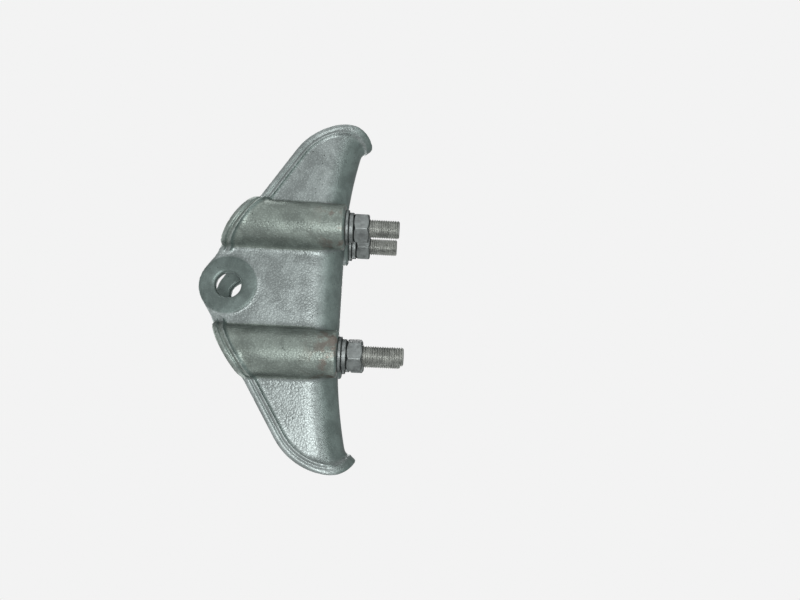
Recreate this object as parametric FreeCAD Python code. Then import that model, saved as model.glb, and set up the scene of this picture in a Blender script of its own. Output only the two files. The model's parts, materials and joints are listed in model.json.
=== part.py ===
import FreeCAD, Part
import math
import os

from FreeCAD import Vector

# Bag-type suspension clamp for an overhead conductor, hot-dip galvanised.
# Millimetres. Origin at the centre of the hanger hole, +X along the conductor,
# +Z up as the clamp hangs, Y across the two cheeks.
# One cast body carries two U-bolts, which pull a keeper down on the conductor.
# The clamp is empty: the keeper lies in the seat, drawn down further at -X.

# Cast body, seen from the side. Each horn ends in an upper round, a leaning face and a lip;
# the lip's round is centred below the seat.
body_length = 306.5
hanger_hole_diameter = 22.0
hanger_hole_chamfer = 1.0
ear_radius = 25.0
ear_boss_height = 1.0
ear_boss_bevel = 0.8
horn_round_radius = 60.0
horn_face_deg = 8.0
horn_face_length = 2.5
horn_lip_radius = 25.0
horn_lip_drop = 10.0
horn_lip_deg = 50.0

# Cast body, across. The rim band starts a little before each barrel's root.
cheek_gap = 40.0
wall = 7.5
rim_band_width = 8.5
rim_band_height = 2.5
rim_band_lead = 1.0
rim_round = 1.7

# Conductor seat, a round-bottomed trough that bends down to its two mouths.
# Each mouth flares over its length at the end of the body.
seat_depth = 87.1
seat_bend_radius = 420.0
seat_bend_deg = 12.8
mouth_flare_radius = 26.0
mouth_flare_deg = 62.0
mouth_length = 13.8

# Barrels that guide the U-bolt legs and end below the trough. A slot across each pair lets the
# bow down, and its floor lies above the bow's centre.
bolt_spacing = 110.0
leg_spacing = 60.0
barrel_radius = 20.0
barrel_end_drop = 2.4
barrel_fillet = 5.0
leg_clearance = 1.0
slot_floor_rise = 4.4

# U-bolts, M16. The bow's centre lies above the seat, lower at -X by the stagger.
thread_diameter = 16.0
leg_length = 71.2
leg_end_chamfer = 1.4
bow_height = 6.7
bolt_stagger = 8.0

# Fasteners below each barrel
flat_washer_diameter = 30.0
flat_washer_hole = 17.5
flat_washer_thickness = 3.0
spring_washer_diameter = 26.0
spring_washer_hole = 17.0
spring_washer_thickness = 4.1
spring_washer_slit = 1.6
spring_washer_slit_deg = 30.0
nut_across_flats = 24.0
nut_height = 13.4
nut_face_share = 0.95
nut_chamfer_deg = 30.0
nut_turn_deg = 13.0
thread_clearance = 0.2

# Keeper
keeper_straight_length = 142.0
keeper_bend_radius = 60.0
keeper_bend_deg = 14.0
keeper_side_clearance = 2.0
keeper_groove_radius = 15.0
keeper_edge_rise = 5.4
keeper_seat_clearance = 0.3
keeper_rib_height = 3.5
keeper_rib_thickness = 5.0
keeper_rib_gap = 1.0

# Sizes that follow from those above
half_length = body_length / 2
face_lean = math.radians(horn_face_deg)
inner_half = cheek_gap / 2
outer_half = inner_half + wall
seat_axis_z = -(seat_depth - inner_half)
bend_axis_radius = seat_bend_radius + inner_half
bend_run = bend_axis_radius * math.sin(math.radians(seat_bend_deg))
seat_straight_half = half_length - mouth_length - bend_run
horn_lip_depth = seat_depth + horn_lip_drop
barrel_end_depth = seat_depth + wall + barrel_end_drop
bolt_drop = seat_depth - bow_height
slot_floor_depth = bolt_drop - slot_floor_rise
bolt_x = bolt_spacing / 2
leg_y = leg_spacing / 2
rim_band_start = bolt_x - barrel_radius - barrel_fillet - rim_band_lead
leg_radius = thread_diameter / 2
bore_radius = leg_radius + leg_clearance
body_floor_z = -2.0 * seat_depth
body_roof_z = ear_radius + wall
reach = 2.0 * body_length
bolt_centre_z = {-1: -bolt_drop, 1: -bolt_drop + bolt_stagger}
flat_washer_top_z = -barrel_end_depth
spring_washer_top_z = flat_washer_top_z - flat_washer_thickness
nut_top_z = spring_washer_top_z - spring_washer_thickness
across = Vector(0, 1, 0)

# How near a point or direction has to be to count as the same
same_place = 0.01
same_direction = 0.999


def extrude_outline(edges, half_depth):
    """Plate of the given closed XZ outline, as deep in +Y as in -Y."""
    face = Part.Face(Part.Wire(edges))
    face.translate(Vector(0, -half_depth, 0))
    return face.extrude(Vector(0, 2 * half_depth, 0))


def on_circle(centre, radius, degrees):
    """Point of an XZ circle, its angle measured from +X towards +Z."""
    angle = math.radians(degrees)
    return centre + Vector(radius * math.cos(angle), 0, radius * math.sin(angle))


def mirrored(point):
    return Vector(-point.x, point.y, point.z)


def horn_form():
    """Centres of the horn's two rounds, upper and lip, and the angle of the rim's slope.

    The leaning end face joins the two rounds. The slope touches the ear and the upper round.
    """
    outward = Vector(math.cos(face_lean), 0, math.sin(face_lean))
    upward = Vector(-math.sin(face_lean), 0, math.cos(face_lean))
    lip_centre = Vector(half_length - horn_lip_radius, 0, -horn_lip_depth)
    round_centre = (lip_centre + outward * (horn_lip_radius - horn_round_radius)
                    + upward * horn_face_length)
    lean = math.acos((ear_radius - horn_round_radius) / round_centre.Length)
    slope = math.atan2(round_centre.x, round_centre.z) - lean
    return round_centre, lip_centre, math.degrees(slope)


def side_outline(inset, half_depth):
    """The body's side outline, drawn in by inset, as a plate across the body."""
    round_centre, lip_centre, slope_deg = horn_form()
    ear = ear_radius - inset
    horn = horn_round_radius - inset
    lip = horn_lip_radius - inset
    slope_side_deg = 90.0 - slope_deg
    ear_top = Vector(0, 0, ear)
    ear_side = on_circle(Vector(0, 0, 0), ear, slope_side_deg)
    round_start = on_circle(round_centre, horn, slope_side_deg)
    round_mid = on_circle(round_centre, horn, (slope_side_deg + horn_face_deg) / 2)
    round_end = on_circle(round_centre, horn, horn_face_deg)
    lip_start = on_circle(lip_centre, lip, horn_face_deg)
    lip_mid = on_circle(lip_centre, lip, (horn_face_deg - horn_lip_deg) / 2)
    lip_end = on_circle(lip_centre, lip, -horn_lip_deg)
    drop = lip_end.z - body_floor_z
    foot = Vector(lip_end.x - drop * math.tan(math.radians(horn_lip_deg)), 0, body_floor_z)
    right = [
        Part.LineSegment(ear_side, round_start),
        Part.Arc(round_start, round_mid, round_end),
        Part.LineSegment(round_end, lip_start),
        Part.Arc(lip_start, lip_mid, lip_end),
        Part.LineSegment(lip_end, foot),
    ]
    right_edges = [curve.toShape() for curve in right]
    left_edges = [edge.mirror(Vector(0, 0, 0), Vector(1, 0, 0)) for edge in right_edges]
    ear_edge = Part.Arc(mirrored(ear_side), ear_top, ear_side).toShape()
    floor_edge = Part.LineSegment(foot, mirrored(foot)).toShape()
    edges = [ear_edge] + right_edges + [floor_edge] + left_edges[::-1]
    return extrude_outline(edges, half_depth)


def trough_section(half_width, x):
    """U-section across the body at x: half round below the seat's axis, open above."""
    left_top = Vector(x, -half_width, body_roof_z)
    left = Vector(x, -half_width, seat_axis_z)
    bottom = Vector(x, 0, seat_axis_z - half_width)
    right = Vector(x, half_width, seat_axis_z)
    right_top = Vector(x, half_width, body_roof_z)
    return Part.Face(Part.Wire([
        Part.LineSegment(left_top, left).toShape(),
        Part.Arc(left, bottom, right).toShape(),
        Part.LineSegment(right, right_top).toShape(),
        Part.LineSegment(right_top, left_top).toShape(),
    ]))


def turned_down(degrees):
    """Direction that pointed up before the seat turned down by the given angle."""
    turn = math.radians(degrees)
    return Vector(math.sin(turn), 0, math.cos(turn))


def trough(half_width):
    """The U-section carried along the seat: straight, then a long bend, then the mouth."""
    middle = trough_section(half_width, -seat_straight_half)
    middle = middle.extrude(Vector(2 * seat_straight_half, 0, 0))
    flare_axis_radius = mouth_flare_radius + inner_half
    section = trough_section(half_width, seat_straight_half)
    bend_centre = Vector(seat_straight_half, 0, seat_axis_z - bend_axis_radius)
    bend = section.revolve(bend_centre, across, seat_bend_deg)
    section.rotate(bend_centre, across, seat_bend_deg)
    outward = turned_down(seat_bend_deg)
    flare_centre = bend_centre + outward * (bend_axis_radius - flare_axis_radius)
    flare = section.revolve(flare_centre, across, mouth_flare_deg)
    half = bend.fuse(flare)
    other_half = half.mirror(Vector(0, 0, 0), Vector(1, 0, 0))
    return middle.fuse([half, other_half]).removeSplitter()


def bolt_places():
    """The four legs: along and across."""
    return [(side_x, side_y) for side_x in (-1, 1) for side_y in (-1, 1)]


def leg_columns(radius, bottom_z):
    """Four upright cylinders round the U-bolt legs, from bottom_z up past the rim."""
    columns = []
    for side_x, side_y in bolt_places():
        foot = Vector(side_x * bolt_x, side_y * leg_y, bottom_z)
        columns.append(Part.makeCylinder(radius, body_roof_z - bottom_z, foot))
    return columns


def through_cylinder(radius, half_depth):
    """Cylinder on the hanger hole's axis, as deep in +Y as in -Y."""
    return Part.makeCylinder(radius, 2 * half_depth, Vector(0, -half_depth, 0), across)


def shared_edges(solid):
    """Each edge between two faces of a solid, with those faces."""
    faces_by_edge = {}
    for face in solid.Faces:
        for edge in face.Edges:
            faces_by_edge.setdefault(edge.hashCode(), (edge, []))[1].append(face)
    return [(edge, faces) for edge, faces in faces_by_edge.values() if len(faces) == 2]


def lies_on(face, surface):
    """Whether a face is a stretch of the given surface."""
    points = face.tessellate(wall)[0][:12]
    return all(Part.Vertex(point).distToShape(surface)[0] < same_place for point in points)


def is_barrel_side(face, radius):
    surface = face.Surface
    if not isinstance(surface, Part.Cylinder):
        return False
    return abs(surface.Radius - radius) < same_place and abs(surface.Axis.z) > same_direction


def is_level_or_sloping(face):
    return isinstance(face.Surface, Part.Plane) and abs(face.Surface.Axis.y) < same_direction


def outer_form(limits, extra):
    """Cheeks, seat and barrels without their hollows, grown outwards by extra, within limits."""
    radius = barrel_radius + extra
    solid = trough(outer_half + extra).fuse(leg_columns(radius, -barrel_end_depth))
    solid = solid.common(limits).removeSplitter()
    roots = []
    for edge, faces in shared_edges(solid):
        sides = [face for face in faces if is_barrel_side(face, radius)]
        others = [face for face in faces if not is_barrel_side(face, radius)]
        if len(sides) == 1 and not is_level_or_sloping(others[0]):
            roots.append(edge)
    return solid.makeFillet(barrel_fillet - extra, roots)


def rim_edges(solid, plate, cavity):
    """Edges of the open rim: those outside the cheeks, and those of the cavity."""
    outline = Part.makeCompound([face for face in plate.Faces if abs(face.normalAt(0, 0).y) < 0.5])
    outer = []
    inner = []
    for edge, faces in shared_edges(solid):
        others = [face for face in faces if not lies_on(face, outline)]
        if len(others) != 1:
            continue
        middle = edge.valueAt((edge.FirstParameter + edge.LastParameter) / 2)
        if lies_on(others[0], cavity):
            inner.append(edge)
        elif abs(middle.x) > rim_band_start + rim_band_height:
            outer.append(edge)
    return outer, inner


def ear_boss():
    """Disc on the hanger hole's axis that stands a little proud of both cheeks."""
    half = outer_half + ear_boss_height
    solid = through_cylinder(ear_radius, half)
    rims = [edge for edge in solid.Edges if isinstance(edge.Curve, Part.Circle)]
    return solid.makeChamfer(ear_boss_bevel, rims)


def hanger_hole():
    """Cylinder with a cone at each outer end, to be cut through both ears."""
    radius = hanger_hole_diameter / 2
    half = outer_half + ear_boss_height
    hole = through_cylinder(radius, reach)
    wide = radius + hanger_hole_chamfer
    cone = Part.makeCone(wide, radius, hanger_hole_chamfer, Vector(0, -half, 0), across)
    return hole.fuse([cone, cone.mirror(Vector(0, 0, 0), across)])


def clamp_body():
    """The casting: cheeks and seat, ears, barrels and the raised band along the rim."""
    plate = side_outline(0, reach)
    cavity = trough(inner_half)
    solid = outer_form(plate, 0)
    band = plate.cut(side_outline(rim_band_width, reach))
    hub = Part.makeBox(2 * rim_band_start, 2 * reach, 2 * reach,
                       Vector(-rim_band_start, -reach, -reach))
    solid = solid.fuse(outer_form(band, rim_band_height).cut(hub))
    solid = solid.fuse(ear_boss()).cut(cavity).removeSplitter()

    solid = solid.makeFillet(rim_round, rim_edges(solid, plate, cavity)[0])
    solid = solid.makeFillet(rim_round, rim_edges(solid, plate, cavity)[1])

    solid = solid.cut(leg_columns(bore_radius, -barrel_end_depth - wall))
    for side_x in (-1, 1):
        corner = Vector(side_x * bolt_x - bore_radius, -leg_y, -slot_floor_depth)
        solid = solid.cut(Part.makeBox(2 * bore_radius, 2 * leg_y, reach, corner))
    return solid.cut(hanger_hole()).removeSplitter()


def turned_profile(points, centre):
    """Solid turned about an upright axis from (radius, z) points."""
    corners = [Vector(radius, 0, z) for radius, z in points]
    face = Part.Face(Part.makePolygon(corners + corners[:1]))
    solid = face.revolve(Vector(0, 0, 0), Vector(0, 0, 1), 360)
    solid.translate(centre)
    return solid


def u_bolt(side_x):
    """Round bar bent over the keeper, with two legs that end in a chamfer."""
    bar = Part.Face(Part.Wire(Part.makeCircle(leg_radius, Vector(0, leg_y, 0), Vector(0, 0, 1))))
    solid = bar.revolve(Vector(0, 0, 0), Vector(1, 0, 0), 180)
    leg_points = [
        (0, 0),
        (leg_radius, 0),
        (leg_radius, -leg_length + leg_end_chamfer),
        (leg_radius - leg_end_chamfer, -leg_length),
        (0, -leg_length),
    ]
    for side_y in (-1, 1):
        solid = solid.fuse(turned_profile(leg_points, Vector(0, side_y * leg_y, 0)))
    solid = solid.removeSplitter()
    solid.translate(Vector(side_x * bolt_x, 0, bolt_centre_z[side_x]))
    return solid


def ring(outer_diameter, hole, thickness, top_z):
    """Flat ring on the Z axis, its upper face at top_z."""
    disc = Part.makeCylinder(outer_diameter / 2, thickness, Vector(0, 0, top_z - thickness))
    return disc.cut(Part.makeCylinder(hole / 2, thickness, Vector(0, 0, top_z - thickness)))


def flat_washer():
    return ring(flat_washer_diameter, flat_washer_hole, flat_washer_thickness, flat_washer_top_z)


def spring_washer():
    """Split ring, pressed flat, with its slit at a slant."""
    solid = ring(spring_washer_diameter, spring_washer_hole, spring_washer_thickness,
                 spring_washer_top_z)
    long_side = spring_washer_diameter
    slit = Part.makeBox(spring_washer_slit, long_side, long_side,
                        Vector(-spring_washer_slit / 2, -long_side, -long_side / 2))
    slit.rotate(Vector(0, 0, 0), across, spring_washer_slit_deg)
    slit.translate(Vector(0, 0, spring_washer_top_z - spring_washer_thickness / 2))
    return solid.cut(slit)


def hex_nut():
    """Hexagon nut, chamfered at both ends, with a countersunk bore for the thread."""
    corner_radius = nut_across_flats / math.sqrt(3)
    bottom_z = nut_top_z - nut_height
    corners = [
        Vector(corner_radius * math.cos(math.radians(60 * k)),
               corner_radius * math.sin(math.radians(60 * k)), bottom_z)
        for k in range(6)
    ]
    hexagon = Part.Face(Part.makePolygon(corners + corners[:1]))
    blank = hexagon.extrude(Vector(0, 0, nut_height))
    face_radius = nut_face_share * nut_across_flats / 2
    chamfer = (corner_radius - face_radius) * math.tan(math.radians(nut_chamfer_deg))
    rounded = turned_profile([
        (0, bottom_z),
        (face_radius, bottom_z),
        (corner_radius, bottom_z + chamfer),
        (corner_radius, nut_top_z - chamfer),
        (face_radius, nut_top_z),
        (0, nut_top_z),
    ], Vector(0, 0, 0))
    bore = leg_radius + thread_clearance
    sink = bore + leg_end_chamfer / 2
    hole = turned_profile([
        (0, bottom_z),
        (sink, bottom_z),
        (bore, bottom_z + leg_end_chamfer / 2),
        (bore, nut_top_z - leg_end_chamfer / 2),
        (sink, nut_top_z),
        (0, nut_top_z),
    ], Vector(0, 0, 0))
    solid = blank.common(rounded).cut(hole)
    solid.rotate(Vector(0, 0, 0), Vector(0, 0, 1), nut_turn_deg)
    return solid


def keeper_section(x):
    """Arched section across the keeper, its height measured from the bow's centre."""
    half_width = inner_half - keeper_side_clearance
    arch = leg_y - leg_radius - keeper_seat_clearance
    shoulder_z = math.sqrt(arch ** 2 - half_width ** 2)
    groove_y = math.sqrt(keeper_groove_radius ** 2 - keeper_edge_rise ** 2)
    right_foot = Vector(x, half_width, keeper_edge_rise)
    right_shoulder = Vector(x, half_width, shoulder_z)
    crown = Vector(x, 0, arch)
    left_shoulder = Vector(x, -half_width, shoulder_z)
    left_foot = Vector(x, -half_width, keeper_edge_rise)
    groove_left = Vector(x, -groove_y, keeper_edge_rise)
    groove_crown = Vector(x, 0, keeper_groove_radius)
    groove_right = Vector(x, groove_y, keeper_edge_rise)
    return Part.Face(Part.Wire([
        Part.LineSegment(right_foot, right_shoulder).toShape(),
        Part.Arc(right_shoulder, crown, left_shoulder).toShape(),
        Part.LineSegment(left_shoulder, left_foot).toShape(),
        Part.LineSegment(left_foot, groove_left).toShape(),
        Part.Arc(groove_left, groove_crown, groove_right).toShape(),
        Part.LineSegment(groove_right, right_foot).toShape(),
    ]))


def keeper_rib(x):
    """Rib over the arch that keeps the bow in its place."""
    half_width = inner_half - keeper_side_clearance
    arch = leg_y - leg_radius - keeper_seat_clearance
    start = Vector(x - keeper_rib_thickness / 2, 0, 0)
    along = Vector(1, 0, 0)
    rib = Part.makeCylinder(arch + keeper_rib_height, keeper_rib_thickness, start, along)
    frame = Part.makeBox(keeper_rib_thickness, 2 * half_width, reach,
                         Vector(start.x, -half_width, keeper_edge_rise))
    groove = Part.makeCylinder(keeper_groove_radius, keeper_rib_thickness, start, along)
    return rib.common(frame).cut(groove)


def keeper():
    """Arched plate over the conductor, turned up at both ends, with a seat for each bow."""
    straight_half = keeper_straight_length / 2
    solid = keeper_section(-straight_half).extrude(Vector(2 * straight_half, 0, 0))
    pivot = Vector(straight_half, 0, keeper_bend_radius)
    end = keeper_section(straight_half).revolve(pivot, across, -keeper_bend_deg)
    other_end = end.mirror(Vector(0, 0, 0), Vector(1, 0, 0))
    solid = solid.fuse([end, other_end])
    tilt = math.atan2(bolt_stagger, bolt_spacing)
    seat_x = bolt_x / math.cos(tilt)
    rib_offset = leg_radius + keeper_rib_gap + keeper_rib_thickness / 2
    for side_x in (-1, 1):
        for side in (-1, 1):
            solid = solid.fuse(keeper_rib(side_x * seat_x + side * rib_offset))
    solid = solid.removeSplitter()
    arch = leg_y - leg_radius - keeper_seat_clearance
    mean_z = (bolt_centre_z[-1] + bolt_centre_z[1]) / 2
    solid.rotate(Vector(0, 0, arch), across, -math.degrees(tilt))
    solid.translate(Vector(0, 0, mean_z))
    return solid


def save(shape, name):
    shape.exportStep(os.path.join("parts", name + ".step"))
    print(name, "solids", len(shape.Solids), "valid", shape.isValid(),
          "volume", round(shape.Volume))


def main():
    os.makedirs("parts", exist_ok=True)
    save(clamp_body(), "clamp_body")
    save(keeper(), "keeper")
    end_names = {-1: "left", 1: "right"}
    side_names = {-1: "front", 1: "rear"}
    for side_x in (-1, 1):
        save(u_bolt(side_x), "u_bolt_" + end_names[side_x])
    fasteners = {
        "flat_washer": flat_washer(),
        "spring_washer": spring_washer(),
        "hex_nut": hex_nut(),
    }
    for side_x, side_y in bolt_places():
        place = end_names[side_x] + "_" + side_names[side_y]
        for name, shape in fasteners.items():
            piece = shape.copy()
            piece.translate(Vector(side_x * bolt_x, side_y * leg_y, 0))
            save(piece, name + "_" + place)


main()
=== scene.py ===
"""Looks of a hot-dip galvanised suspension clamp, laid out as a Blender add-on.

Lengths are metres. The frame has +X along the conductor, +Z up as the clamp hangs, and its
origin at the centre of the hanger hole. Pieces are built where the frame's nodes are.
"""

import json
import math

import bmesh
import bpy
from bpy.props import FloatProperty, FloatVectorProperty, IntProperty, PointerProperty
from mathutils import Matrix, Vector
from mathutils.geometry import convex_hull_2d


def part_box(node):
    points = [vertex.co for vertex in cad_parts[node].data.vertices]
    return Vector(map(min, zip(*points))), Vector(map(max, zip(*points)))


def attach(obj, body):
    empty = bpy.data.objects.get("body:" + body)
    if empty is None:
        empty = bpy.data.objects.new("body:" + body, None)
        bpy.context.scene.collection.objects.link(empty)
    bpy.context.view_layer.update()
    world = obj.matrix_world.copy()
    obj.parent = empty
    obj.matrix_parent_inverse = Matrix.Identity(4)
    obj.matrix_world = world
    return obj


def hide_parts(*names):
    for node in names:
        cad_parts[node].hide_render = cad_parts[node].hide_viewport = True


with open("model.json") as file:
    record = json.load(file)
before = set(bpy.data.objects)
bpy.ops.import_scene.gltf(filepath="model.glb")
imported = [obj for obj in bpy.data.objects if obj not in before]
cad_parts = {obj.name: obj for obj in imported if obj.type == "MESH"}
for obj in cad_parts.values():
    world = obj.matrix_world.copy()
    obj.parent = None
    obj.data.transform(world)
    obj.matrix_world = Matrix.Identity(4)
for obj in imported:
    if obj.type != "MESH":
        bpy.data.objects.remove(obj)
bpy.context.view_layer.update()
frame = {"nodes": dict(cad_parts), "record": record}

bl_info = {
    "name": "Suspension clamp looks",
    "version": (1, 0, 0),
    "blender": (4, 5, 0),
    "location": "View3D > Sidebar > Clamp",
    "description": "Galvanised casting, threaded U-bolts, fasteners and stage of a clamp",
    "category": "Object",
}

MM = 0.001
ENDS = ("left", "right")
CORNERS = ("left_front", "left_rear", "right_front", "right_rear")
CASTING_SLOT = "galvanised_casting"
BOLT_SLOT = "galvanised_bolt"
FASTENER_SLOT = "galvanised_fastener"
BODY_OF = {
    node: body for body, nodes in frame["record"]["behaviour"]["bodies"].items() for node in nodes
}


def middle_of(node):
    """Middle of a node's box."""
    low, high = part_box(node)
    return (Vector(low) + Vector(high)) / 2


# Places on the casting, in the frame
BODY_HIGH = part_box("clamp_body")[1]
LEG_X = middle_of("hex_nut_right_rear").x
LEG_Y = middle_of("hex_nut_right_rear").y
EAR_RADIUS = BODY_HIGH[2]
BARREL_END_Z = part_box("flat_washer_right_rear")[1][2]
SEAMS_Z = (BARREL_END_Z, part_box("flat_washer_right_rear")[0][2],
           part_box("spring_washer_right_rear")[0][2])
BAND_HEIGHT = 2.5 * MM
BARREL_RADIUS = BODY_HIGH[1] - BAND_HEIGHT - LEG_Y
CHEEK_Y = 27.5 * MM
BAND_START = LEG_X - BARREL_RADIUS - 6 * MM

# Counts of the meshes made here: sides of a leg, rows in each pitch, on the plain leg and over
# the bow, and columns round a nut
LEG_SIDES = 40
STEPS_PER_PITCH = 10
PLAIN_STEPS = 4
BOW_STEPS = 48
NUT_COLUMNS = 132

# The rim is where the outline's way out rises more than this
LEAST_RISE = -0.5

# Where the rim's groove and bead fade: by the rise of the rim's way out, and by how far the
# skin faces outwards, or down where it lies between the cheeks
LIP_FADE = (-0.12, 0.18)
OUTSIDE_FADE = (-0.2, 0.0)
LEAST_DOWN = 0.3
BEAD_TO_GROOVE_WIDTH = 0.75

# Start and end of the thread's flank, from 0 in the groove's middle to 1 in the crest's, and
# the chamfer at the bolt's ends against the leg's radius
THREAD_FLANK = (0.12, 0.88)
BOLT_END_CHAMFER = 0.16

# The nut's widened mouths, and the rounding of its outer edges
NUT_MOUTH_WIDTH = 1.0 * MM
NUT_MOUTH_DEPTH = 0.8 * MM
NUT_EDGE_ROUND = 0.35 * MM

# Colours that a user has no need to change
SPECK_COLOUR = (0.05, 0.06, 0.055)
STEEL_SPECK_COLOUR = (0.06, 0.065, 0.06)
# Colour of the painted shade on the steel's faces along the legs and in its seams
STEEL_SHADE_COLOUR = (0.03, 0.036, 0.034)

# Shares by which each mark covers the zinc of the castings
# The first two are painted shade: under the trough and on the bosses
BELOW_SHADE_SHARE = 0.9
BOSS_SHADE_SHARE = 0.82
STAIN_SHARE = 0.85
SPECK_SHARE = 0.8

# Brightness of the castings' darkest and lightest clouds, and of the painted shade in the grain's
# hollows and the painted glints on its peaks, on rough and on smooth skin
CLOUD_SHADES = (0.82, 1.14)
PAINTED_HOLLOW_SHADES = (0.87, 0.95)
PAINTED_PEAK_GLINTS = (1.22, 1.08)

# Height of the grain on smooth skin against rough skin, and how far the barrels count as rough
SMOOTH_GRAIN = 0.3
BARREL_ROUGHNESS = 0.6

# Brightness of the steel's darkest and lightest clouds, and the shares that marks cover there
STEEL_DARK, STEEL_LIGHT = 0.68, 1.2
STEEL_SPECK_SHARE = 0.6
# Painted shade on faces turned along the legs and in the seams between parts
END_FACE_SHADE = 0.6
SEAM_SHADE = 0.85

# Rise in roughness from the darkest clouds to the lightest
CLOUD_ROUGHNESS = 0.1

# The floor, how far from its middle its shadow fades, and how much it glows in the middle
FLOOR_HALF_WIDTH = 6.0
SHADOW_FADE = (0.1, 0.5)
GLOW_BY_CLAMP = 0.75

# Lamps: name, place, width, height and the setting that holds the power
LAMPS = (
    ("Front lamp", (-0.18, -0.60, -0.18), 0.25, 0.25, "front_power"),
    ("Under lamp", (0.05, -0.36, -0.52), 0.60, 0.08, "under_power"),
    ("End lamp", (0.56, -0.34, -0.10), 0.30, 0.30, "end_power"),
    ("Rear lamp", (0.12, 0.64, -0.02), 0.30, 0.30, "rear_power"),
    ("Top lamp", (0.0, 0.22, 0.62), 0.50, 0.30, "top_power"),
    ("Right lamp", (0.66, 0.26, 0.12), 0.30, 0.30, "side_power"),
    ("Left lamp", (-0.58, 0.44, 0.12), 0.30, 0.30, "side_power"),
)
LAMP_TARGET = (0.0, 0.0, -60 * MM)


def share_between(value, low, high):
    """0 up to low, 1 from high on, and straight in between."""
    return min(max((value - low) / (high - low), 0.0), 1.0)


# Settings that a user would change

class CastingSettings(bpy.types.PropertyGroup):
    """Sizes and colours of the two castings."""

    body_cell: FloatProperty(
        name="Body mesh cell", description="Cell of the body's even mesh",
        default=1.62 * MM, unit="LENGTH")
    keeper_cell: FloatProperty(
        name="Keeper mesh cell", description="Cell of the keeper's even mesh",
        default=0.8 * MM, unit="LENGTH")
    edge_passes: IntProperty(
        name="Edge rounding", description="Passes that round the edges as sand and zinc do",
        default=6)
    groove_inset: FloatProperty(
        name="Rim groove inset", description="From the rim's edge to the middle of its groove",
        default=5.6 * MM, unit="LENGTH")
    groove_width: FloatProperty(
        name="Rim groove width", description="Half the width of the groove along the rim",
        default=1.15 * MM, unit="LENGTH")
    groove_depth: FloatProperty(
        name="Rim groove depth", description="Depth of the groove along the rim",
        default=1.2 * MM, unit="LENGTH")
    bead_inset: FloatProperty(
        name="Rim bead inset", description="From the rim's edge to the bead inside the groove",
        default=8.0 * MM, unit="LENGTH")
    bead_height: FloatProperty(
        name="Rim bead height", description="Height of the bead inside the groove",
        default=0.6 * MM, unit="LENGTH")
    colour: FloatVectorProperty(
        name="Colour", description="Dull zinc on the castings", subtype="COLOR",
        size=3, default=(0.27, 0.305, 0.30))
    smooth_colour: FloatVectorProperty(
        name="Smooth colour", description="Zinc on the smoother barrels",
        subtype="COLOR", size=3, default=(0.20, 0.234, 0.213))
    # Painted shade: a darker, greener colour under the trough and on the bosses, where the light
    # falls off
    painted_dark_colour: FloatVectorProperty(
        name="Dark colour", description="Painted greener shade on the bosses and under the trough",
        subtype="COLOR", size=3, default=(0.115, 0.15, 0.14))
    stain_colour: FloatVectorProperty(
        name="Stain colour", description="Brown stains on the barrels", subtype="COLOR",
        size=3, default=(0.135, 0.115, 0.10))
    grain_size: FloatProperty(
        name="Grain size", description="Spacing of the sand grain's bumps",
        default=1.6 * MM, unit="LENGTH")
    grain_depth: FloatProperty(
        name="Grain depth", description="Height of the sand grain's bumps",
        default=0.2 * MM, unit="LENGTH")


class BoltSettings(bpy.types.PropertyGroup):
    """Sizes and colours of the U-bolts."""

    pitch: FloatProperty(
        name="Thread pitch", description="Rise of the thread in one turn",
        default=2.0 * MM, unit="LENGTH")
    thread_depth: FloatProperty(
        name="Thread depth", description="Depth of the thread's groove",
        default=0.85 * MM, unit="LENGTH")
    thread_length: FloatProperty(
        name="Thread length", description="Threaded length of each leg",
        default=62.0 * MM, unit="LENGTH")
    colour: FloatVectorProperty(
        name="Colour", description="Dull zinc on the bolts", subtype="COLOR",
        size=3, default=(0.34, 0.355, 0.33))


class FastenerSettings(bpy.types.PropertyGroup):
    """Sizes and colours of the nuts and washers."""

    cell: FloatProperty(
        name="Mesh cell", description="Cell of the even mesh of the washers",
        default=0.42 * MM, unit="LENGTH")
    edge_passes: IntProperty(
        name="Edge rounding", description="Passes that round the washers' edges as zinc does",
        default=4)
    across_flats: FloatProperty(
        name="Across flats", description="Size of the nut over its flats",
        default=24.0 * MM, unit="LENGTH")
    face_radius: FloatProperty(
        name="Nut face radius", description="Radius of the nut's round face inside the chamfer",
        default=11.0 * MM, unit="LENGTH")
    chamfer_angle: FloatProperty(
        name="Nut chamfer", description="Slope of the chamfer at the nut's two faces",
        default=math.radians(33), subtype="ANGLE")
    colour: FloatVectorProperty(
        name="Colour", description="Zinc on the nuts and washers", subtype="COLOR",
        size=3, default=(0.19, 0.208, 0.205))


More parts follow.
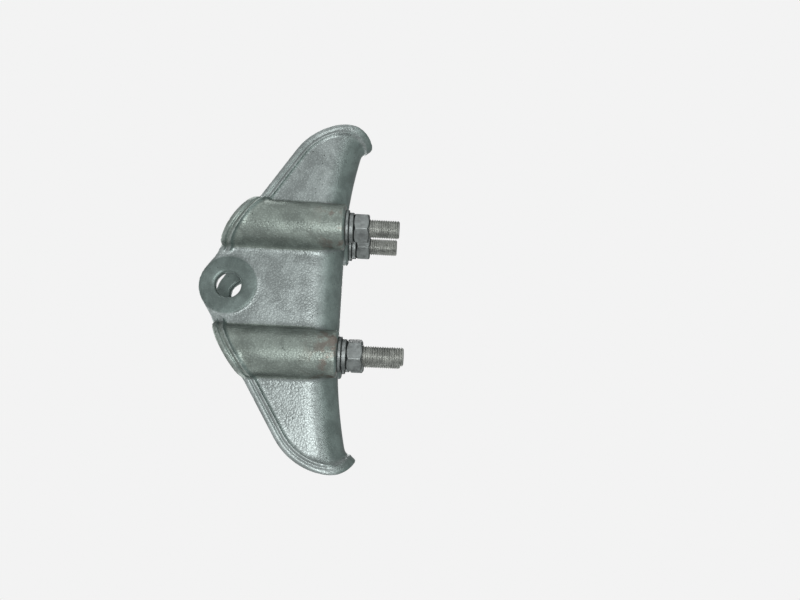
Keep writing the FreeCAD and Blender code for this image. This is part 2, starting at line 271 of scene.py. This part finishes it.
class StageSettings(bpy.types.PropertyGroup):
    """Camera, lamps, floor and background."""

    camera_place: FloatVectorProperty(
        name="Camera place", description="Where the camera stands", subtype="XYZ", size=3,
        unit="LENGTH", default=(-80.2 * MM, -472.6 * MM, -130.1 * MM))
    camera_target: FloatVectorProperty(
        name="Camera target", description="The point at the middle of the picture",
        subtype="XYZ", size=3, unit="LENGTH", default=(-1.5 * MM, 0.0, -147.9 * MM))
    camera_up: FloatVectorProperty(
        name="Camera up", description="The direction that points up in the picture",
        subtype="DIRECTION", size=3, default=(0.9855, -0.1622, 0.0491))
    lens: FloatProperty(
        name="Lens", description="Focal length, in millimetres of a 36 mm sensor",
        default=23.66)
    background: FloatVectorProperty(
        name="Background", description="Pale ground round the clamp", subtype="COLOR",
        size=3, default=(0.896, 0.896, 0.896))
    fill: FloatProperty(
        name="Fill light", description="Strength of the even light from all round", default=0.08)
    floor_drop: FloatProperty(
        name="Floor drop", description="How far the floor lies below the hanger hole",
        default=1.1, unit="LENGTH")
    front_power: FloatProperty(
        name="Front lamp", description="Broad lamp in front of the clamp, by its left end",
        default=3.2, subtype="POWER")
    under_power: FloatProperty(
        name="Under lamp", description="Long lamp in front of and below the clamp",
        default=0.9, subtype="POWER")
    end_power: FloatProperty(
        name="End lamp", description="Lamp past the clamp's right end",
        default=0.6, subtype="POWER")
    rear_power: FloatProperty(
        name="Rear lamp", description="Broad lamp behind the clamp",
        default=2.6, subtype="POWER")
    top_power: FloatProperty(
        name="Top lamp", description="Broad lamp above and behind the clamp",
        default=2.6, subtype="POWER")
    side_power: FloatProperty(
        name="Side lamps", description="Each of the two lamps past the ends, behind the clamp",
        default=1.8, subtype="POWER")


# Nodes

def new_group(name, inputs, outputs):
    """Empty shader node group with the given sockets: (name, type, default)."""
    group = bpy.data.node_groups.new(name, "ShaderNodeTree")
    for label, kind, default in inputs:
        socket = group.interface.new_socket(label, in_out="INPUT", socket_type=kind)
        if default is not None:
            socket.default_value = default
    for label, kind in outputs:
        group.interface.new_socket(label, in_out="OUTPUT", socket_type=kind)
    return group, group.nodes.new("NodeGroupInput"), group.nodes.new("NodeGroupOutput")


class Wires:
    """Short calls to add and link nodes of one tree."""

    def __init__(self, tree):
        self.tree = tree

    def plug(self, value, socket):
        if isinstance(value, bpy.types.NodeSocket):
            self.tree.links.new(value, socket)
        elif value is not None:
            socket.default_value = value

    def math(self, operation, first, second=None, third=None, clamp=False):
        node = self.tree.nodes.new("ShaderNodeMath")
        node.operation = operation
        node.use_clamp = clamp
        for value, socket in zip((first, second, third), node.inputs):
            self.plug(value, socket)
        return node.outputs[0]

    def noise(self, place, scale, detail=2.0, roughness=0.5, distortion=0.0):
        node = self.tree.nodes.new("ShaderNodeTexNoise")
        self.plug(place, node.inputs["Vector"])
        self.plug(scale, node.inputs["Scale"])
        self.plug(detail, node.inputs["Detail"])
        self.plug(roughness, node.inputs["Roughness"])
        self.plug(distortion, node.inputs["Distortion"])
        return node.outputs["Fac"]

    def cells(self, place, scale):
        node = self.tree.nodes.new("ShaderNodeTexVoronoi")
        self.plug(place, node.inputs["Vector"])
        self.plug(scale, node.inputs["Scale"])
        return node.outputs["Distance"]

    def ramp(self, value, low, high, to_low=0.0, to_high=1.0):
        """Value between low and high as a smooth step from to_low to to_high."""
        node = self.tree.nodes.new("ShaderNodeMapRange")
        node.interpolation_type = "SMOOTHSTEP"
        self.plug(value, node.inputs["Value"])
        self.plug(low, node.inputs["From Min"])
        self.plug(high, node.inputs["From Max"])
        self.plug(to_low, node.inputs["To Min"])
        self.plug(to_high, node.inputs["To Max"])
        return node.outputs["Result"]

    def fall(self, value, low, high):
        """1 up to low, 0 from high on, with a smooth step between."""
        return self.ramp(value, low, high, 1.0, 0.0)

    def between(self, share, at_none, at_full):
        """Value that goes from at_none to at_full as the share goes from 0 to 1."""
        return self.ramp(share, 0.0, 1.0, at_none, at_full)

    def mix(self, share, first, second, blend="MIX"):
        node = self.tree.nodes.new("ShaderNodeMix")
        node.data_type = "RGBA"
        node.blend_type = blend
        self.plug(share, node.inputs["Factor"])
        self.plug(first, node.inputs[6])
        self.plug(second, node.inputs[7])
        return node.outputs[2]

    def length(self, first, second):
        """Length of the vector with the two given parts."""
        squares = self.math("MULTIPLY_ADD", first, first, self.math("MULTIPLY", second, second))
        return self.math("SQRT", squares)

    def split(self, vector):
        node = self.tree.nodes.new("ShaderNodeSeparateXYZ")
        self.plug(vector, node.inputs[0])
        return node.outputs

    def group(self, group, **values):
        node = self.tree.nodes.new("ShaderNodeGroup")
        node.node_tree = group
        for label, value in values.items():
            self.plug(value, node.inputs[label.replace("_", " ")])
        return node.outputs


def shade(colour, factor=1.0):
    """Colour with an alpha of 1, each part times factor."""
    return tuple(part * factor for part in colour) + (1.0,)


def sand_grain_group():
    """Height of a sand-cast skin: close round bumps, broken up, with slow swells."""
    breaks_per_bump, swells_per_bump = 0.8, 0.16
    break_height, swell_height = 0.7, 2.0
    group, given, result = new_group(
        "Sand grain",
        [("Place", "NodeSocketVector", None), ("Bumps per metre", "NodeSocketFloat", 600.0),
         ("Swell", "NodeSocketFloat", 0.5)],
        [("Height", "NodeSocketFloat"), ("Peaks", "NodeSocketFloat")])
    w = Wires(group)
    place, per_metre = given.outputs["Place"], given.outputs["Bumps per metre"]
    from_middle = w.cells(place, per_metre)
    domes = w.math("SUBTRACT", 1.0, w.math("MULTIPLY", from_middle, from_middle))
    broken = w.noise(place, w.math("MULTIPLY", per_metre, breaks_per_bump),
                     detail=3.0, roughness=0.6)
    swell = w.noise(place, w.math("MULTIPLY", per_metre, swells_per_bump))
    skin = w.math("MULTIPLY_ADD", broken, break_height, domes)
    swell = w.math("MULTIPLY", swell, given.outputs["Swell"])
    w.plug(w.math("MULTIPLY_ADD", swell, swell_height, skin), result.inputs["Height"])
    # Peaks marks the bumps' tops, where the castings paint glints
    w.plug(w.fall(from_middle, 0.15, 0.5), result.inputs["Peaks"])
    return group


def zinc_mottle_group():
    """Cloudy lighter and darker zinc, with small dark specks in patches."""
    patches_per_speck = 0.25
    group, given, result = new_group(
        "Zinc mottle",
        [("Place", "NodeSocketVector", None), ("Clouds per metre", "NodeSocketFloat", 60.0),
         ("Specks per metre", "NodeSocketFloat", 260.0)],
        [("Clouds", "NodeSocketFloat"), ("Specks", "NodeSocketFloat")])
    w = Wires(group)
    place = given.outputs["Place"]
    per_metre = given.outputs["Specks per metre"]
    clouds = w.noise(place, given.outputs["Clouds per metre"],
                     detail=4.0, roughness=0.6, distortion=0.4)
    dots = w.fall(w.cells(place, per_metre), 0.10, 0.20)
    patches = w.noise(place, w.math("MULTIPLY", per_metre, patches_per_speck), detail=1.0)
    w.plug(w.ramp(clouds, 0.32, 0.68), result.inputs["Clouds"])
    w.plug(w.math("MULTIPLY", dots, w.ramp(patches, 0.54, 0.62)), result.inputs["Specks"])
    return group


def new_material(name):
    """Material with only a Principled BSDF, its wires, and the object's places and normals."""
    material = bpy.data.materials.new(name)
    material.use_nodes = True
    shader = material.node_tree.nodes["Principled BSDF"]
    w = Wires(material.node_tree)
    given = material.node_tree.nodes.new("ShaderNodeTexCoord").outputs
    return material, shader, w, given["Object"], given["Normal"]


def dull_zinc(w, shader, clouds, metallic, rough):
    """Weathered zinc: part metal, rougher in its light clouds, with a weak clear reflection."""
    w.plug(w.between(clouds, rough, rough + CLOUD_ROUGHNESS), shader.inputs["Roughness"])
    shader.inputs["Metallic"].default_value = metallic
    shader.inputs["Specular IOR Level"].default_value = 0.1
    shader.inputs["Specular Tint"].default_value = (0.3, 0.3, 0.3, 1.0)


def add_bump(w, shader, height, depth):
    bump = w.tree.nodes.new("ShaderNodeBump")
    w.plug(height, bump.inputs["Height"])
    bump.inputs["Distance"].default_value = depth
    w.plug(bump.outputs["Normal"], shader.inputs["Normal"])


def casting_regions(w, place, facing):
    """Masks over the casting: barrels, bosses, rims, the skin facing down that gets painted
    shade, and the barrels' stains.
    """
    x, y, z = w.split(place)
    far_x = w.math("ABSOLUTE", x)
    far_y = w.math("ABSOLUTE", y)
    from_leg = w.length(w.math("SUBTRACT", far_x, LEG_X), w.math("SUBTRACT", far_y, LEG_Y))
    on_barrel = w.math("MULTIPLY",
                       w.fall(from_leg, BARREL_RADIUS + 1.5 * MM, BARREL_RADIUS + 4.0 * MM),
                       w.ramp(far_y, CHEEK_Y, CHEEK_Y + 1.5 * MM))
    on_boss = w.fall(w.length(x, z), EAR_RADIUS - 1.2 * MM, EAR_RADIUS + 0.6 * MM)
    on_band = w.ramp(far_y, CHEEK_Y + 0.6 * MM, CHEEK_Y + 1.4 * MM)
    near_end = w.fall(z, BARREL_END_Z + 3 * MM, BARREL_END_Z + 34 * MM)
    blots_per_metre = 95.0
    blots = w.ramp(w.noise(place, blots_per_metre, detail=3.0, roughness=0.6), 0.47, 0.62)
    stain = w.math("MULTIPLY", w.math("MULTIPLY", near_end, on_barrel), blots)
    # Painted shade on skin that faces down, where less light falls
    below = w.fall(w.split(facing)[2], -0.7, -0.15)
    return on_barrel, on_boss, on_band, below, stain


def casting_material(groups, settings):
    """Rough cast skin under dull zinc: smooth on the rims, brown by the barrels' ends, with
    painted shade under the trough and on the bosses and painted glints on the grain's peaks.
    """
    material, shader, w, place, facing = new_material("Galvanised casting")
    on_barrel, on_boss, on_band, below, stain = casting_regions(w, place, facing)
    grain = w.group(groups["grain"], Place=place,
                    Bumps_per_metre=1.0 / settings.grain_size, Swell=0.35)
    mottle = w.group(groups["mottle"], Place=place)
    base = w.mix(on_barrel, shade(settings.colour), shade(settings.smooth_colour))
    # Painted shade under the trough and on the bosses; the grain is also smoother there
    dark = w.math("MAXIMUM", w.math("MULTIPLY", below, BELOW_SHADE_SHARE),
                  w.math("MULTIPLY", on_boss, BOSS_SHADE_SHARE))
    base = w.mix(dark, base, shade(settings.painted_dark_colour))
    on_rim = w.math("SUBTRACT", on_band, w.math("MULTIPLY", on_barrel, BARREL_ROUGHNESS))
    smooth = w.math("MAXIMUM", on_rim, dark)
    cloudy = w.mix(1.0, base, w.between(mottle["Clouds"], *CLOUD_SHADES), "MULTIPLY")
    # Painted glints on the grain's peaks and painted shade in its hollows
    painted_glints = w.between(grain["Peaks"], w.between(smooth, *PAINTED_HOLLOW_SHADES),
                        w.between(smooth, *PAINTED_PEAK_GLINTS))
    colour = w.mix(1.0, cloudy, painted_glints, "MULTIPLY")
    colour = w.mix(w.math("MULTIPLY", stain, STAIN_SHARE), colour, shade(settings.stain_colour))
    specks = w.math("MULTIPLY", mottle["Specks"], SPECK_SHARE)
    w.plug(w.mix(specks, colour, shade(SPECK_COLOUR)), shader.inputs["Base Color"])
    dull_zinc(w, shader, mottle["Clouds"], metallic=0.45, rough=0.36)
    height = w.math("MULTIPLY", grain["Height"], w.between(smooth, 1.0, SMOOTH_GRAIN))
    add_bump(w, shader, height, settings.grain_depth)
    return material


def seam_shade(w, place):
    """Painted shade in the seams between barrel, washers and nut: 1 in the seam."""
    height = w.split(place)[2]
    painted_shade = 0.0
    for seam in SEAMS_Z:
        off = w.math("ABSOLUTE", w.math("SUBTRACT", height, seam))
        painted_shade = w.math("MAXIMUM", painted_shade, w.fall(off, 0.25 * MM, 1.0 * MM))
    return painted_shade


def steel_material(name, groups, colour, grain_size, grain_depth, metallic, rough):
    """Zinc on rolled or pressed steel: finer grain, with painted shade on faces turned along the
    legs and in the seams.
    """
    material, shader, w, place, facing = new_material(name)
    grain = w.group(groups["grain"], Place=place, Bumps_per_metre=1.0 / grain_size, Swell=0.6)
    mottle = w.group(groups["mottle"], Place=place, Clouds_per_metre=150.0,
                     Specks_per_metre=420.0)
    tone = w.mix(mottle["Clouds"], shade(colour, STEEL_DARK), shade(colour, STEEL_LIGHT))
    specks = w.math("MULTIPLY", mottle["Specks"], STEEL_SPECK_SHARE)
    tone = w.mix(specks, tone, shade(STEEL_SPECK_COLOUR))
    # Painted shade on faces turned along the legs, such as nut faces, washer faces and thread
    # flanks
    end_shade = w.ramp(w.math("ABSOLUTE", w.split(facing)[2]), 0.25, 0.8, 0.0, END_FACE_SHADE)
    painted_shade = w.math("MAXIMUM", end_shade, w.math("MULTIPLY", seam_shade(w, place), SEAM_SHADE))
    w.plug(w.mix(painted_shade, tone, shade(STEEL_SHADE_COLOUR)), shader.inputs["Base Color"])
    dull_zinc(w, shader, mottle["Clouds"], metallic, rough)
    add_bump(w, shader, grain["Height"], grain_depth)
    return material


_made = {}


def shared(name, make):
    """The one of its name, made at its first use."""
    if name not in _made:
        _made[name] = make()
    return _made[name]


def groups():
    return {"grain": shared("grain", sand_grain_group),
            "mottle": shared("mottle", zinc_mottle_group)}


# Meshes

def finish_piece(piece, material, slot, body, *nodes):
    """Give a piece its material, its body to ride on and the nodes it stands for; the slot is not
    used.
    """
    piece.data.materials.clear()
    piece.data.materials.append(material)
    for polygon in piece.data.polygons:
        polygon.use_smooth = True
    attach(piece, body)
    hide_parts(*nodes)


def link_mesh(name, mesh):
    """Object of the given mesh, in the scene."""
    piece = bpy.data.objects.new(name, mesh)
    bpy.context.scene.collection.objects.link(piece)
    return piece


def closed_piece(name, shape):
    """Piece of the given shape, which is used up, with its faces turned outwards."""
    bmesh.ops.recalc_face_normals(shape, faces=shape.faces)
    mesh = bpy.data.meshes.new(name)
    shape.to_mesh(mesh)
    shape.free()
    return link_mesh(name, mesh)


def softened(node, name, cell, passes):
    """Even, soft-edged mesh of a node's solid, in the node's own place."""
    mesh = frame["nodes"][node].data.copy()
    mesh.name = name
    joined = bmesh.new()
    joined.from_mesh(mesh)
    bmesh.ops.remove_doubles(joined, verts=joined.verts, dist=0.001 * MM)
    joined.to_mesh(mesh)
    joined.free()
    piece = link_mesh(name, mesh)
    remesh = piece.modifiers.new("Even cells", "REMESH")
    remesh.mode = "VOXEL"
    remesh.voxel_size = cell
    smooth = piece.modifiers.new("Round edges", "SMOOTH")
    smooth.factor = 0.5
    smooth.iterations = passes
    bpy.context.view_layer.update()
    evaluated = piece.evaluated_get(bpy.context.evaluated_depsgraph_get())
    result = bpy.data.meshes.new_from_object(evaluated)
    piece.modifiers.clear()
    piece.data = result
    result.name = name
    bpy.data.meshes.remove(mesh)
    if len(result.polygons) == 0:
        raise RuntimeError("no mesh came out for " + name)
    return piece


def rim_lines(mesh):
    """Edges of the body's side outline, save those that face down: a point and the way out."""
    flat = [Vector((v.co.x, v.co.z)) for v in mesh.vertices]
    outline = [flat[k] for k in convex_hull_2d(flat)]
    middle = sum(outline, Vector((0.0, 0.0))) / len(outline)
    lines = []
    for start, end in zip(outline, outline[1:] + outline[:1]):
        along = (end - start).normalized()
        outward = Vector((along.y, -along.x))
        if outward.dot(start - middle) < 0:
            outward.negate()
        if along.length > 0 and outward.y > LEAST_RISE:
            lines.append((start, outward))
    return lines


def carve_rim_groove(piece, settings):
    """Groove along the rim band with a low bead on its inner side, both faded at the lips."""
    lines = rim_lines(piece.data)
    shape = bmesh.new()
    shape.from_mesh(piece.data)
    shape.normal_update()

    def inset_and_fade(vertex):
        place = Vector((vertex.co.x, vertex.co.z))
        inset, rise = min(((start - place).dot(outward), outward.y) for start, outward in lines)
        return inset, share_between(rise, *LIP_FADE)

    def outside_share(vertex):
        if abs(vertex.co.x) < BAND_START:
            return 0.0
        outward = -LEAST_DOWN - vertex.normal.z
        if abs(vertex.co.y) > CHEEK_Y - MM:
            outward = vertex.normal.y if vertex.co.y > 0 else -vertex.normal.y
        return share_between(outward, *OUTSIDE_FADE)

    bead_width = BEAD_TO_GROOVE_WIDTH * settings.groove_width
    low = settings.groove_inset - 2.5 * settings.groove_width
    high = settings.bead_inset + settings.groove_width
    near = {v for v in shape.verts if outside_share(v) > 0 and low < inset_and_fade(v)[0] < high}
    cut = [edge for edge in shape.edges if edge.verts[0] in near and edge.verts[1] in near]
    bmesh.ops.subdivide_edges(shape, edges=cut, cuts=2, use_grid_fill=True)
    shape.normal_update()
    moves = []
    for vertex in shape.verts:
        share = outside_share(vertex)
        if share > 0:
            inset, fade = inset_and_fade(vertex)
            from_groove = (inset - settings.groove_inset) / settings.groove_width
            from_bead = (inset - settings.bead_inset) / bead_width
            rise = (settings.bead_height * math.exp(-from_bead * from_bead)
                    - settings.groove_depth * math.exp(-from_groove * from_groove))
            moves.append((vertex, vertex.normal * rise * fade * share))
    for vertex, move in moves:
        vertex.co += move
    shape.to_mesh(piece.data)
    shape.free()


def loft(name, rings):
    """Mesh through closed rings of equal count, each end closed by a fan."""
    shape = bmesh.new()
    rows = [[shape.verts.new(point) for point in ring] for ring in rings]
    count = len(rings[0])
    for lower, upper in zip(rows, rows[1:]):
        for k in range(count):
            after = (k + 1) % count
            shape.faces.new((lower[k], lower[after], upper[after], upper[k]))
    for row, turned in ((rows[0], True), (rows[-1], False)):
        centre = shape.verts.new(sum((v.co for v in row), Vector()) / count)
        for k in range(count):
            pair = (row[(k + 1) % count], row[k]) if turned else (row[k], row[(k + 1) % count])
            shape.faces.new((centre,) + pair)
    return closed_piece(name, shape)


def thread_radius(centre, point, settings, leg_radius, leg_end, chamfer):
    """Distance from a leg's axis to its thread at the given point of the plain rod."""
    above_end = point.z - leg_end
    turn = math.atan2(point.y - centre.y, point.x - centre.x) / (2 * math.pi)
    phase = (point.z / settings.pitch - turn) % 1.0
    crest = abs(2 * phase - 1)
    share = share_between(crest, *THREAD_FLANK)
    share = share * share * (3 - 2 * share)
    runout = min(share_between(settings.thread_length - above_end, 0.0, 2 * settings.pitch),
                 share_between(above_end, 0.0, settings.pitch))
    radius = leg_radius - settings.thread_depth * (1 - share) * runout
    return min(radius, leg_radius - chamfer + above_end)


def u_bolt_rings(node, settings):
    """Rings of a U-bolt from one leg's end, up, over the bow and down to the other end."""
    low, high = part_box(node)
    leg_radius = (high.x - low.x) / 2
    leg_y = high.y - leg_radius
    middle_x = (low.x + high.x) / 2
    bow_z = high.z - leg_y - leg_radius
    chamfer = BOLT_END_CHAMFER * leg_radius
    step = settings.pitch / STEPS_PER_PITCH
    rows = round(settings.thread_length / step)
    leg_heights = [low.z + k * step for k in range(rows + 1)]
    plain = bow_z - leg_heights[-1]
    leg_heights += [leg_heights[-1] + plain * k / PLAIN_STEPS for k in range(1, PLAIN_STEPS)]
    path = [(Vector((middle_x, -leg_y, z)), Vector((0, 0, 1)), True) for z in leg_heights]
    for k in range(BOW_STEPS + 1):
        turn = math.pi * k / BOW_STEPS
        place = Vector((middle_x, -leg_y * math.cos(turn), bow_z + leg_y * math.sin(turn)))
        path.append((place, Vector((0, math.sin(turn), math.cos(turn))), False))
    path += [(Vector((middle_x, leg_y, z)), Vector((0, 0, -1)), True)
             for z in reversed(leg_heights)]
    sideways = Vector((1, 0, 0))
    rings = []
    for centre, along, on_leg in path:
        outward = along.cross(sideways)
        ring = []
        for k in range(LEG_SIDES):
            angle = 2 * math.pi * k / LEG_SIDES
            direction = sideways * math.cos(angle) + outward * math.sin(angle)
            radius = leg_radius
            if on_leg:
                radius = thread_radius(centre, centre + direction * leg_radius, settings,
                                       leg_radius, low.z, chamfer)
            ring.append(centre + direction * radius)
        rings.append(ring)
    return rings


def chamfered_nut(node, settings):
    """Hexagon nut with the arcs that its conical chamfers cut, turned as the node's nut is."""
    low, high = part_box(node)
    middle = middle_of(node)
    half = (high.z - low.z) / 2
    flat = settings.across_flats / 2
    spots = [v.co - middle for v in frame["nodes"][node].data.vertices]
    reaches = [math.hypot(spot.x, spot.y) for spot in spots]
    corner, bore = max(reaches), min(reaches)
    far = [math.atan2(s.y, s.x) for s, reach in zip(spots, reaches) if reach > 0.99 * corner]
    turn = math.atan2(sum(math.sin(6 * a) for a in far), sum(math.cos(6 * a) for a in far)) / 6
    slope = math.tan(settings.chamfer_angle)
    face = settings.face_radius
    shape = bmesh.new()

    def new_vertex(angle, radius, height):
        return shape.verts.new(middle + Vector((
            radius * math.cos(angle), radius * math.sin(angle), height)))

    columns = []
    for k in range(NUT_COLUMNS):
        angle = 2 * math.pi * k / NUT_COLUMNS
        off_flat = (angle - turn) % (math.pi / 3) - math.pi / 6
        side = min(flat / math.cos(off_flat), corner)
        edge = half - (side - face) * slope
        upper = [(bore, half - NUT_MOUTH_DEPTH),
                 (bore + 0.75 * NUT_MOUTH_WIDTH, half - 0.04 * MM),
                 (bore + NUT_MOUTH_WIDTH, half),
                 (face - 0.3 * MM, half),
                 (face + 0.25 * MM, half - 0.3 * MM * slope),
                 (side - NUT_EDGE_ROUND, edge + NUT_EDGE_ROUND * slope),
                 (side - 0.06 * MM, edge + 0.02 * MM),
                 (side, edge - NUT_EDGE_ROUND),
                 (side, 0.3 * edge)]
        section = upper + [(radius, -height) for radius, height in reversed(upper)]
        columns.append([new_vertex(angle, radius, height) for radius, height in section])
    for column, after in zip(columns, columns[1:] + columns[:1]):
        for k in range(len(column)):
            above = (k + 1) % len(column)
            shape.faces.new((column[k], after[k], after[above], column[above]))
    return closed_piece("zinc_" + node, shape)


def washer(node, settings):
    """Washer with rounded edges, turned half round its leg, so that a slit is at the back."""
    piece = softened(node, "zinc_" + node, settings.cell, settings.edge_passes)
    middle = middle_of(node)
    to_leg = Matrix.Translation(middle)
    piece.data.transform(to_leg @ Matrix.Rotation(math.pi, 4, "Z") @ to_leg.inverted())
    return piece


# Operators of the pieces

class CLAMP_OT_body(bpy.types.Operator):
    """Cast body with soft edges and a sand-cast, galvanised skin"""

    bl_idname = "clamp.body"
    bl_label = "Cast body"

    def execute(self, context):
        settings = context.scene.clamp_casting
        piece = softened("clamp_body", "cast_body", settings.body_cell, settings.edge_passes)
        carve_rim_groove(piece, settings)
        material = shared("casting", lambda: casting_material(groups(), settings))
        finish_piece(piece, material, CASTING_SLOT, BODY_OF["clamp_body"], "clamp_body")
        return {"FINISHED"}


class CLAMP_OT_keeper(bpy.types.Operator):
    """Keeper with soft edges and the casting's skin"""

    bl_idname = "clamp.keeper"
    bl_label = "Keeper"

    def execute(self, context):
        settings = context.scene.clamp_casting
        piece = softened("keeper", "cast_keeper", settings.keeper_cell, settings.edge_passes)
        material = shared("casting", lambda: casting_material(groups(), settings))
        finish_piece(piece, material, CASTING_SLOT, BODY_OF["keeper"], "keeper")
        return {"FINISHED"}


class CLAMP_OT_u_bolts(bpy.types.Operator):
    """Two U-bolts with rolled threads on their legs"""

    bl_idname = "clamp.u_bolts"
    bl_label = "U-bolts"

    def execute(self, context):
        settings = context.scene.clamp_bolt
        material = shared("bolt", lambda: steel_material(
            "Galvanised bolt", groups(), settings.colour,
            grain_size=0.9 * MM, grain_depth=0.02 * MM, metallic=0.6, rough=0.42))
        for end in ENDS:
            node = "u_bolt_" + end
            piece = loft("threaded_" + node, u_bolt_rings(node, settings))
            finish_piece(piece, material, BOLT_SLOT, BODY_OF[node], node)
        return {"FINISHED"}


class CLAMP_OT_fasteners(bpy.types.Operator):
    """Chamfered nuts, spring washers and flat washers"""

    bl_idname = "clamp.fasteners"
    bl_label = "Nuts and washers"

    def execute(self, context):
        settings = context.scene.clamp_fastener
        material = shared("fastener", lambda: steel_material(
            "Galvanised fastener", groups(), settings.colour,
            grain_size=1.3 * MM, grain_depth=0.10 * MM, metallic=0.55, rough=0.40))
        for kind, make in (("flat_washer", washer), ("spring_washer", washer),
                           ("hex_nut", chamfered_nut)):
            for corner in CORNERS:
                node = kind + "_" + corner
                piece = make(node, settings)
                finish_piece(piece, material, FASTENER_SLOT, BODY_OF[node], node)
        return {"FINISHED"}


# Stage

def seen_directly(w):
    """Whether a ray comes from the camera, a mirror or a glass: 1 or 0."""
    path = w.tree.nodes.new("ShaderNodeLightPath").outputs
    direct = w.math("ADD", path["Is Camera Ray"], path["Is Glossy Ray"])
    return w.math("ADD", direct, path["Is Transmission Ray"], clamp=True)


def add_lamp(name, place, width, height, power):
    """Soft lamp that shines on the clamp's middle."""
    lamp = bpy.data.lights.new(name, "AREA")
    lamp.shape = "RECTANGLE"
    lamp.size = width
    lamp.size_y = height
    lamp.energy = power
    holder = bpy.data.objects.new(name, lamp)
    bpy.context.scene.collection.objects.link(holder)
    holder.location = place
    towards = Vector(LAMP_TARGET) - Vector(place)
    holder.rotation_euler = towards.to_track_quat("-Z", "Y").to_euler()
    holder.visible_camera = False


def add_camera(settings):
    """The scene's camera, at its place and turned to its target."""
    camera = bpy.data.cameras.new("Camera")
    camera.lens = settings.lens
    camera.clip_start = 10 * MM
    holder = bpy.data.objects.new("Camera", camera)
    bpy.context.scene.collection.objects.link(holder)
    place = Vector(settings.camera_place)
    forward = (Vector(settings.camera_target) - place).normalized()
    right = forward.cross(Vector(settings.camera_up)).normalized()
    upward = right.cross(forward)
    turn = Matrix((right, upward, -forward)).transposed().to_4x4()
    holder.matrix_world = Matrix.Translation(place) @ turn
    bpy.context.scene.camera = holder


def add_room(settings, pale):
    """World that shines evenly from all round, and is pale where it is seen."""
    world = bpy.data.worlds.new("Pale room")
    bpy.context.scene.world = world
    world.use_nodes = True
    w = Wires(world.node_tree)
    shader = world.node_tree.nodes["Background"]
    shader.inputs["Color"].default_value = pale
    w.plug(w.between(seen_directly(w), settings.fill, 1.0), shader.inputs["Strength"])


def floor_material(pale):
    """Pale ground that takes a faint shadow and melts into the background further out."""
    material = bpy.data.materials.new("Pale floor")
    material.use_nodes = True
    tree = material.node_tree
    w = Wires(tree)
    ground = tree.nodes["Principled BSDF"]
    ground.inputs["Base Color"].default_value = pale
    ground.inputs["Roughness"].default_value = 1.0
    ground.inputs["Specular IOR Level"].default_value = 0.0
    glow = tree.nodes.new("ShaderNodeEmission")
    glow.inputs["Color"].default_value = pale
    place = tree.nodes.new("ShaderNodeTexCoord").outputs["Object"]
    length = tree.nodes.new("ShaderNodeVectorMath")
    length.operation = "LENGTH"
    w.plug(place, length.inputs[0])
    share = w.ramp(length.outputs["Value"], *SHADOW_FADE, GLOW_BY_CLAMP, 1.0)
    mixed = tree.nodes.new("ShaderNodeMixShader")
    w.plug(w.math("MULTIPLY", share, seen_directly(w)), mixed.inputs[0])
    w.plug(ground.outputs[0], mixed.inputs[1])
    w.plug(glow.outputs[0], mixed.inputs[2])
    w.plug(mixed.outputs[0], tree.nodes["Material Output"].inputs["Surface"])
    return material


def add_floor(settings, pale):
    """Wide floor below the clamp."""
    mesh = bpy.data.meshes.new("floor")
    shape = bmesh.new()
    bmesh.ops.create_grid(shape, x_segments=1, y_segments=1, size=FLOOR_HALF_WIDTH)
    shape.to_mesh(mesh)
    shape.free()
    mesh.materials.append(floor_material(pale))
    floor = link_mesh("floor", mesh)
    floor.location = (0.0, 0.0, -settings.floor_drop)


class CLAMP_OT_stage(bpy.types.Operator):
    """Camera, soft lamps, pale floor and background"""

    bl_idname = "clamp.stage"
    bl_label = "Stage"

    def execute(self, context):
        settings = context.scene.clamp_stage
        context.scene.view_settings.view_transform = "Standard"
        add_camera(settings)
        for name, place, width, height, power in LAMPS:
            add_lamp(name, place, width, height, getattr(settings, power))
        pale = shade(settings.background)
        add_room(settings, pale)
        add_floor(settings, pale)
        return {"FINISHED"}


# Panel and registration

class CLAMP_PT_panel(bpy.types.Panel):
    """Lists the clamp's pieces and stage"""

    bl_idname = "CLAMP_PT_panel"
    bl_label = "Suspension clamp"
    bl_space_type = "VIEW_3D"
    bl_region_type = "UI"
    bl_category = "Clamp"

    def draw(self, context):
        for operator in OPERATORS:
            self.layout.operator(operator.bl_idname)


OPERATORS = (
    CLAMP_OT_body, CLAMP_OT_keeper, CLAMP_OT_u_bolts, CLAMP_OT_fasteners, CLAMP_OT_stage,
)
SETTINGS = {
    "clamp_casting": CastingSettings,
    "clamp_bolt": BoltSettings,
    "clamp_fastener": FastenerSettings,
    "clamp_stage": StageSettings,
}


def register():
    for settings in SETTINGS.values():
        bpy.utils.register_class(settings)
    for item in OPERATORS + (CLAMP_PT_panel,):
        bpy.utils.register_class(item)
    for name, settings in SETTINGS.items():
        setattr(bpy.types.Scene, name, PointerProperty(type=settings))


def unregister():
    for name in SETTINGS:
        delattr(bpy.types.Scene, name)
    for item in reversed(OPERATORS + (CLAMP_PT_panel,)):
        bpy.utils.unregister_class(item)
    for settings in reversed(SETTINGS.values()):
        bpy.utils.unregister_class(settings)


def main():
    register()
    bpy.ops.clamp.body()
    bpy.ops.clamp.keeper()
    bpy.ops.clamp.u_bolts()
    bpy.ops.clamp.fasteners()
    bpy.ops.clamp.stage()


if __name__ == "__main__":
    main()
